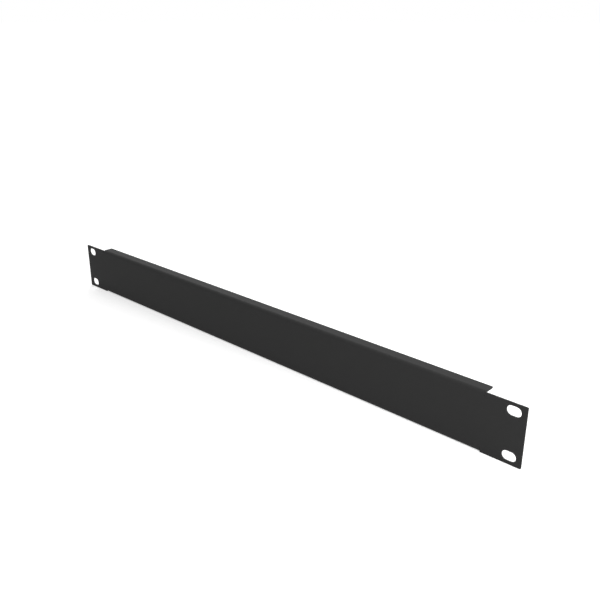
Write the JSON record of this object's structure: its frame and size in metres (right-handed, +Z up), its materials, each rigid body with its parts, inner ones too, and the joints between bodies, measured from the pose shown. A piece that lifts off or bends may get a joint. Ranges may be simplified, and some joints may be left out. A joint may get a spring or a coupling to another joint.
{
  "type": "rack blanking panel",
  "caption": "Long flat sheet-metal panel with a shallow fold to the rear along its top and bottom edges and a slotted ear at each end, to cover an unused space in an equipment rack.",
  "frame": {"origin": "middle of the four fixing slots, on the rear face of the ears, which lies on the rack's rails", "axes": "+X along the width, to the right of someone facing the rack; +Y to the rear of the rack; +Z up"},
  "size_m": [0.4826, 0.01, 0.0434],
  "materials": {
    "powder_coat": "fine-textured matt black powder coat"
  },
  "bodies": {
    "root": {"panel": "powder_coat"}
  },
  "joints": []
}
